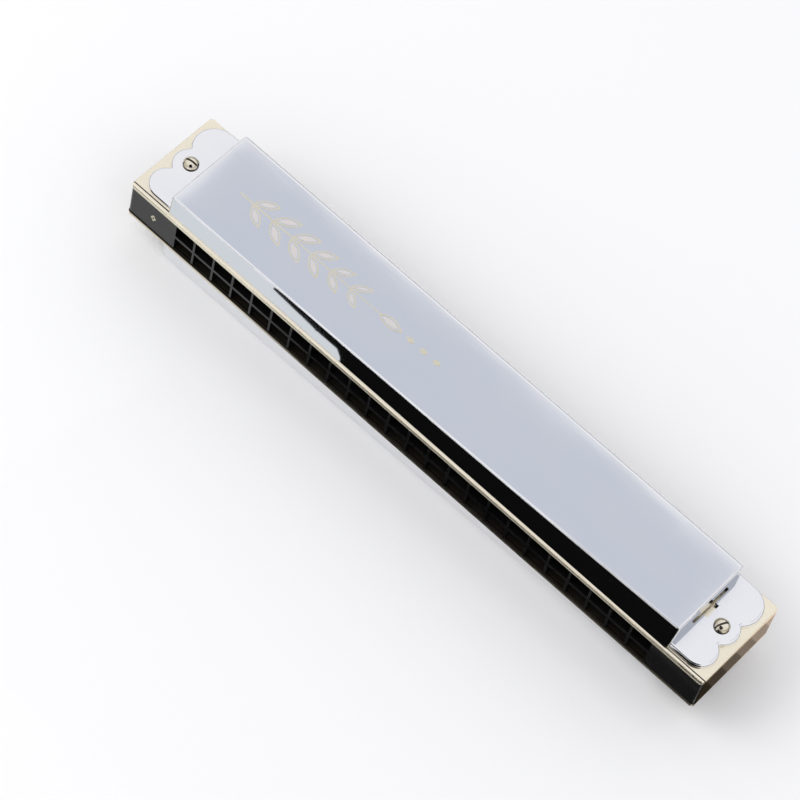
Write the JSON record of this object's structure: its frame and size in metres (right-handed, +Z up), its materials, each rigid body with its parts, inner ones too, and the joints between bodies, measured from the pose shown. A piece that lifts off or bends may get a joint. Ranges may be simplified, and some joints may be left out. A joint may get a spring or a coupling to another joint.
{
  "type": "harmonica",
  "caption": "Long tremolo harmonica with a black plastic comb, two rows of mouth holes, pale brass reed plates, mirror chrome covers with lobed end flanges and reeds that bend at their roots.",
  "frame": {"origin": "under the middle of the instrument, on the flat of the lower cover it rests on", "axes": "+X along the length towards the high notes, +Y from the mouthpiece to the open back, +Z up through the upper cover"},
  "size_m": [0.182, 0.028, 0.0264],
  "materials": {
    "comb_plastic": "black moulded plastic, semi-gloss",
    "reed_plate": "pale champagne plating on brass, satin",
    "cover_chrome": "mirror chrome plating on pressed sheet metal",
    "screw_nickel": "polished nickel plating, slightly warm",
    "small_screw": "plain turned brass",
    "reed_bronze": "ground phosphor bronze with fine filing marks",
    "rivet_brass": "bright pressed brass"
  },
  "bodies": {
    "instrument": {"comb": "comb_plastic", "upper_reed_plate": "reed_plate", "lower_reed_plate": "reed_plate", "upper_cover": "cover_chrome", "lower_cover": "cover_chrome", "cover_screws": "screw_nickel", "cover_nuts": "screw_nickel", "upper_plate_screws": "small_screw", "lower_plate_screws": "small_screw", "reed_bases": "reed_bronze", "reed_rivets": "rivet_brass"},
    "upper_reed_01": {"upper_reed_01": "reed_bronze"},
    "upper_reed_02": {"upper_reed_02": "reed_bronze"},
    "upper_reed_03": {"upper_reed_03": "reed_bronze"},
    "upper_reed_04": {"upper_reed_04": "reed_bronze"},
    "upper_reed_05": {"upper_reed_05": "reed_bronze"},
    "upper_reed_06": {"upper_reed_06": "reed_bronze"},
    "upper_reed_07": {"upper_reed_07": "reed_bronze"},
    "upper_reed_08": {"upper_reed_08": "reed_bronze"},
    "upper_reed_09": {"upper_reed_09": "reed_bronze"},
    "upper_reed_10": {"upper_reed_10": "reed_bronze"},
    "upper_reed_11": {"upper_reed_11": "reed_bronze"},
    "upper_reed_12": {"upper_reed_12": "reed_bronze"},
    "upper_reed_13": {"upper_reed_13": "reed_bronze"},
    "upper_reed_14": {"upper_reed_14": "reed_bronze"},
    "upper_reed_15": {"upper_reed_15": "reed_bronze"},
    "upper_reed_16": {"upper_reed_16": "reed_bronze"},
    "upper_reed_17": {"upper_reed_17": "reed_bronze"},
    "upper_reed_18": {"upper_reed_18": "reed_bronze"},
    "upper_reed_19": {"upper_reed_19": "reed_bronze"},
    "upper_reed_20": {"upper_reed_20": "reed_bronze"},
    "upper_reed_21": {"upper_reed_21": "reed_bronze"},
    "upper_reed_22": {"upper_reed_22": "reed_bronze"},
    "upper_reed_23": {"upper_reed_23": "reed_bronze"},
    "upper_reed_24": {"upper_reed_24": "reed_bronze"},
    "lower_reed_01": {"lower_reed_01": "reed_bronze"},
    "lower_reed_02": {"lower_reed_02": "reed_bronze"},
    "lower_reed_03": {"lower_reed_03": "reed_bronze"},
    "lower_reed_04": {"lower_reed_04": "reed_bronze"},
    "lower_reed_05": {"lower_reed_05": "reed_bronze"},
    "lower_reed_06": {"lower_reed_06": "reed_bronze"},
    "lower_reed_07": {"lower_reed_07": "reed_bronze"},
    "lower_reed_08": {"lower_reed_08": "reed_bronze"},
    "lower_reed_09": {"lower_reed_09": "reed_bronze"},
    "lower_reed_10": {"lower_reed_10": "reed_bronze"},
    "lower_reed_11": {"lower_reed_11": "reed_bronze"},
    "lower_reed_12": {"lower_reed_12": "reed_bronze"},
    "lower_reed_13": {"lower_reed_13": "reed_bronze"},
    "lower_reed_14": {"lower_reed_14": "reed_bronze"},
    "lower_reed_15": {"lower_reed_15": "reed_bronze"},
    "lower_reed_16": {"lower_reed_16": "reed_bronze"},
    "lower_reed_17": {"lower_reed_17": "reed_bronze"},
    "lower_reed_18": {"lower_reed_18": "reed_bronze"},
    "lower_reed_19": {"lower_reed_19": "reed_bronze"},
    "lower_reed_20": {"lower_reed_20": "reed_bronze"},
    "lower_reed_21": {"lower_reed_21": "reed_bronze"},
    "lower_reed_22": {"lower_reed_22": "reed_bronze"},
    "lower_reed_23": {"lower_reed_23": "reed_bronze"},
    "lower_reed_24": {"lower_reed_24": "reed_bronze"}
  },
  "joints": [
    {"name": "upper_reed_01_bend", "type": "hinge", "parent": "instrument", "child": "upper_reed_01", "pos_m": [-0.07291, 0.008, 0.01823], "axis": [-1, 0, 0], "range_deg": [-3, 3], "stiffness_Nm_per_rad": 0.0943},
    {"name": "upper_reed_02_bend", "type": "hinge", "parent": "instrument", "child": "upper_reed_02", "pos_m": [-0.06657, -0.009, 0.01997], "axis": [1, 0, 0], "range_deg": [-3, 3], "stiffness_Nm_per_rad": 0.0963},
    {"name": "upper_reed_03_bend", "type": "hinge", "parent": "instrument", "child": "upper_reed_03", "pos_m": [-0.06023, 0.008, 0.01823], "axis": [-1, 0, 0], "range_deg": [-3, 3], "stiffness_Nm_per_rad": 0.0984},
    {"name": "upper_reed_04_bend", "type": "hinge", "parent": "instrument", "child": "upper_reed_04", "pos_m": [-0.05389, -0.009, 0.01997], "axis": [1, 0, 0], "range_deg": [-3, 3], "stiffness_Nm_per_rad": 0.1005},
    {"name": "upper_reed_05_bend", "type": "hinge", "parent": "instrument", "child": "upper_reed_05", "pos_m": [-0.04755, 0.008, 0.01823], "axis": [-1, 0, 0], "range_deg": [-3, 3], "stiffness_Nm_per_rad": 0.1028},
    {"name": "upper_reed_06_bend", "type": "hinge", "parent": "instrument", "child": "upper_reed_06", "pos_m": [-0.04121, -0.009, 0.01997], "axis": [1, 0, 0], "range_deg": [-3, 3], "stiffness_Nm_per_rad": 0.1051},
    {"name": "upper_reed_07_bend", "type": "hinge", "parent": "instrument", "child": "upper_reed_07", "pos_m": [-0.03487, 0.008, 0.01823], "axis": [-1, 0, 0], "range_deg": [-3, 3], "stiffness_Nm_per_rad": 0.1075},
    {"name": "upper_reed_08_bend", "type": "hinge", "parent": "instrument", "child": "upper_reed_08", "pos_m": [-0.02853, -0.009, 0.01997], "axis": [1, 0, 0], "range_deg": [-3, 3], "stiffness_Nm_per_rad": 0.1101},
    {"name": "upper_reed_09_bend", "type": "hinge", "parent": "instrument", "child": "upper_reed_09", "pos_m": [-0.02219, 0.008, 0.01823], "axis": [-1, 0, 0], "range_deg": [-3, 3], "stiffness_Nm_per_rad": 0.1128},
    {"name": "upper_reed_10_bend", "type": "hinge", "parent": "instrument", "child": "upper_reed_10", "pos_m": [-0.01585, -0.009, 0.01997], "axis": [1, 0, 0], "range_deg": [-3, 3], "stiffness_Nm_per_rad": 0.1156},
    {"name": "upper_reed_11_bend", "type": "hinge", "parent": "instrument", "child": "upper_reed_11", "pos_m": [-0.00951, 0.008, 0.01823], "axis": [-1, 0, 0], "range_deg": [-3, 3], "stiffness_Nm_per_rad": 0.1186},
    {"name": "upper_reed_12_bend", "type": "hinge", "parent": "instrument", "child": "upper_reed_12", "pos_m": [-0.00317, -0.009, 0.01997], "axis": [1, 0, 0], "range_deg": [-3, 3], "stiffness_Nm_per_rad": 0.1217},
    {"name": "upper_reed_13_bend", "type": "hinge", "parent": "instrument", "child": "upper_reed_13", "pos_m": [0.00317, 0.008, 0.01823], "axis": [-1, 0, 0], "range_deg": [-3, 3], "stiffness_Nm_per_rad": 0.125},
    {"name": "upper_reed_14_bend", "type": "hinge", "parent": "instrument", "child": "upper_reed_14", "pos_m": [0.00951, -0.009, 0.01997], "axis": [1, 0, 0], "range_deg": [-3, 3], "stiffness_Nm_per_rad": 0.1285},
    {"name": "upper_reed_15_bend", "type": "hinge", "parent": "instrument", "child": "upper_reed_15", "pos_m": [0.01585, 0.008, 0.01823], "axis": [-1, 0, 0], "range_deg": [-3, 3], "stiffness_Nm_per_rad": 0.1322},
    {"name": "upper_reed_16_bend", "type": "hinge", "parent": "instrument", "child": "upper_reed_16", "pos_m": [0.02219, -0.009, 0.01997], "axis": [1, 0, 0], "range_deg": [-3, 3], "stiffness_Nm_per_rad": 0.1361},
    {"name": "upper_reed_17_bend", "type": "hinge", "parent": "instrument", "child": "upper_reed_17", "pos_m": [0.02853, 0.008, 0.01823], "axis": [-1, 0, 0], "range_deg": [-3, 3], "stiffness_Nm_per_rad": 0.1403},
    {"name": "upper_reed_18_bend", "type": "hinge", "parent": "instrument", "child": "upper_reed_18", "pos_m": [0.03487, -0.009, 0.01997], "axis": [1, 0, 0], "range_deg": [-3, 3], "stiffness_Nm_per_rad": 0.1447},
    {"name": "upper_reed_19_bend", "type": "hinge", "parent": "instrument", "child": "upper_reed_19", "pos_m": [0.04121, 0.008, 0.01823], "axis": [-1, 0, 0], "range_deg": [-3, 3], "stiffness_Nm_per_rad": 0.1493},
    {"name": "upper_reed_20_bend", "type": "hinge", "parent": "instrument", "child": "upper_reed_20", "pos_m": [0.04755, -0.009, 0.01997], "axis": [1, 0, 0], "range_deg": [-3, 3], "stiffness_Nm_per_rad": 0.1543},
    {"name": "upper_reed_21_bend", "type": "hinge", "parent": "instrument", "child": "upper_reed_21", "pos_m": [0.05389, 0.008, 0.01823], "axis": [-1, 0, 0], "range_deg": [-3, 3], "stiffness_Nm_per_rad": 0.1597},
    {"name": "upper_reed_22_bend", "type": "hinge", "parent": "instrument", "child": "upper_reed_22", "pos_m": [0.06023, -0.009, 0.01997], "axis": [1, 0, 0], "range_deg": [-3, 3], "stiffness_Nm_per_rad": 0.1654},
    {"name": "upper_reed_23_bend", "type": "hinge", "parent": "instrument", "child": "upper_reed_23", "pos_m": [0.06657, 0.008, 0.01823], "axis": [-1, 0, 0], "range_deg": [-3, 3], "stiffness_Nm_per_rad": 0.1716},
    {"name": "upper_reed_24_bend", "type": "hinge", "parent": "instrument", "child": "upper_reed_24", "pos_m": [0.07291, -0.009, 0.01997], "axis": [1, 0, 0], "range_deg": [-3, 3], "stiffness_Nm_per_rad": 0.1782},
    {"name": "lower_reed_01_bend", "type": "hinge", "parent": "instrument", "child": "lower_reed_01", "pos_m": [-0.07291, 0.008, 0.00817], "axis": [1, 0, 0], "range_deg": [-3, 3], "stiffness_Nm_per_rad": 0.0943},
    {"name": "lower_reed_02_bend", "type": "hinge", "parent": "instrument", "child": "lower_reed_02", "pos_m": [-0.06657, -0.009, 0.00643], "axis": [-1, 0, 0], "range_deg": [-3, 3], "stiffness_Nm_per_rad": 0.0963},
    {"name": "lower_reed_03_bend", "type": "hinge", "parent": "instrument", "child": "lower_reed_03", "pos_m": [-0.06023, 0.008, 0.00817], "axis": [1, 0, 0], "range_deg": [-3, 3], "stiffness_Nm_per_rad": 0.0984},
    {"name": "lower_reed_04_bend", "type": "hinge", "parent": "instrument", "child": "lower_reed_04", "pos_m": [-0.05389, -0.009, 0.00643], "axis": [-1, 0, 0], "range_deg": [-3, 3], "stiffness_Nm_per_rad": 0.1005},
    {"name": "lower_reed_05_bend", "type": "hinge", "parent": "instrument", "child": "lower_reed_05", "pos_m": [-0.04755, 0.008, 0.00817], "axis": [1, 0, 0], "range_deg": [-3, 3], "stiffness_Nm_per_rad": 0.1028},
    {"name": "lower_reed_06_bend", "type": "hinge", "parent": "instrument", "child": "lower_reed_06", "pos_m": [-0.04121, -0.009, 0.00643], "axis": [-1, 0, 0], "range_deg": [-3, 3], "stiffness_Nm_per_rad": 0.1051},
    {"name": "lower_reed_07_bend", "type": "hinge", "parent": "instrument", "child": "lower_reed_07", "pos_m": [-0.03487, 0.008, 0.00817], "axis": [1, 0, 0], "range_deg": [-3, 3], "stiffness_Nm_per_rad": 0.1075},
    {"name": "lower_reed_08_bend", "type": "hinge", "parent": "instrument", "child": "lower_reed_08", "pos_m": [-0.02853, -0.009, 0.00643], "axis": [-1, 0, 0], "range_deg": [-3, 3], "stiffness_Nm_per_rad": 0.1101},
    {"name": "lower_reed_09_bend", "type": "hinge", "parent": "instrument", "child": "lower_reed_09", "pos_m": [-0.02219, 0.008, 0.00817], "axis": [1, 0, 0], "range_deg": [-3, 3], "stiffness_Nm_per_rad": 0.1128},
    {"name": "lower_reed_10_bend", "type": "hinge", "parent": "instrument", "child": "lower_reed_10", "pos_m": [-0.01585, -0.009, 0.00643], "axis": [-1, 0, 0], "range_deg": [-3, 3], "stiffness_Nm_per_rad": 0.1156},
    {"name": "lower_reed_11_bend", "type": "hinge", "parent": "instrument", "child": "lower_reed_11", "pos_m": [-0.00951, 0.008, 0.00817], "axis": [1, 0, 0], "range_deg": [-3, 3], "stiffness_Nm_per_rad": 0.1186},
    {"name": "lower_reed_12_bend", "type": "hinge", "parent": "instrument", "child": "lower_reed_12", "pos_m": [-0.00317, -0.009, 0.00643], "axis": [-1, 0, 0], "range_deg": [-3, 3], "stiffness_Nm_per_rad": 0.1217},
    {"name": "lower_reed_13_bend", "type": "hinge", "parent": "instrument", "child": "lower_reed_13", "pos_m": [0.00317, 0.008, 0.00817], "axis": [1, 0, 0], "range_deg": [-3, 3], "stiffness_Nm_per_rad": 0.125},
    {"name": "lower_reed_14_bend", "type": "hinge", "parent": "instrument", "child": "lower_reed_14", "pos_m": [0.00951, -0.009, 0.00643], "axis": [-1, 0, 0], "range_deg": [-3, 3], "stiffness_Nm_per_rad": 0.1285},
    {"name": "lower_reed_15_bend", "type": "hinge", "parent": "instrument", "child": "lower_reed_15", "pos_m": [0.01585, 0.008, 0.00817], "axis": [1, 0, 0], "range_deg": [-3, 3], "stiffness_Nm_per_rad": 0.1322},
    {"name": "lower_reed_16_bend", "type": "hinge", "parent": "instrument", "child": "lower_reed_16", "pos_m": [0.02219, -0.009, 0.00643], "axis": [-1, 0, 0], "range_deg": [-3, 3], "stiffness_Nm_per_rad": 0.1361},
    {"name": "lower_reed_17_bend", "type": "hinge", "parent": "instrument", "child": "lower_reed_17", "pos_m": [0.02853, 0.008, 0.00817], "axis": [1, 0, 0], "range_deg": [-3, 3], "stiffness_Nm_per_rad": 0.1403},
    {"name": "lower_reed_18_bend", "type": "hinge", "parent": "instrument", "child": "lower_reed_18", "pos_m": [0.03487, -0.009, 0.00643], "axis": [-1, 0, 0], "range_deg": [-3, 3], "stiffness_Nm_per_rad": 0.1447},
    {"name": "lower_reed_19_bend", "type": "hinge", "parent": "instrument", "child": "lower_reed_19", "pos_m": [0.04121, 0.008, 0.00817], "axis": [1, 0, 0], "range_deg": [-3, 3], "stiffness_Nm_per_rad": 0.1493},
    {"name": "lower_reed_20_bend", "type": "hinge", "parent": "instrument", "child": "lower_reed_20", "pos_m": [0.04755, -0.009, 0.00643], "axis": [-1, 0, 0], "range_deg": [-3, 3], "stiffness_Nm_per_rad": 0.1543},
    {"name": "lower_reed_21_bend", "type": "hinge", "parent": "instrument", "child": "lower_reed_21", "pos_m": [0.05389, 0.008, 0.00817], "axis": [1, 0, 0], "range_deg": [-3, 3], "stiffness_Nm_per_rad": 0.1597},
    {"name": "lower_reed_22_bend", "type": "hinge", "parent": "instrument", "child": "lower_reed_22", "pos_m": [0.06023, -0.009, 0.00643], "axis": [-1, 0, 0], "range_deg": [-3, 3], "stiffness_Nm_per_rad": 0.1654},
    {"name": "lower_reed_23_bend", "type": "hinge", "parent": "instrument", "child": "lower_reed_23", "pos_m": [0.06657, 0.008, 0.00817], "axis": [1, 0, 0], "range_deg": [-3, 3], "stiffness_Nm_per_rad": 0.1716},
    {"name": "lower_reed_24_bend", "type": "hinge", "parent": "instrument", "child": "lower_reed_24", "pos_m": [0.07291, -0.009, 0.00643], "axis": [-1, 0, 0], "range_deg": [-3, 3], "stiffness_Nm_per_rad": 0.1782}
  ]
}
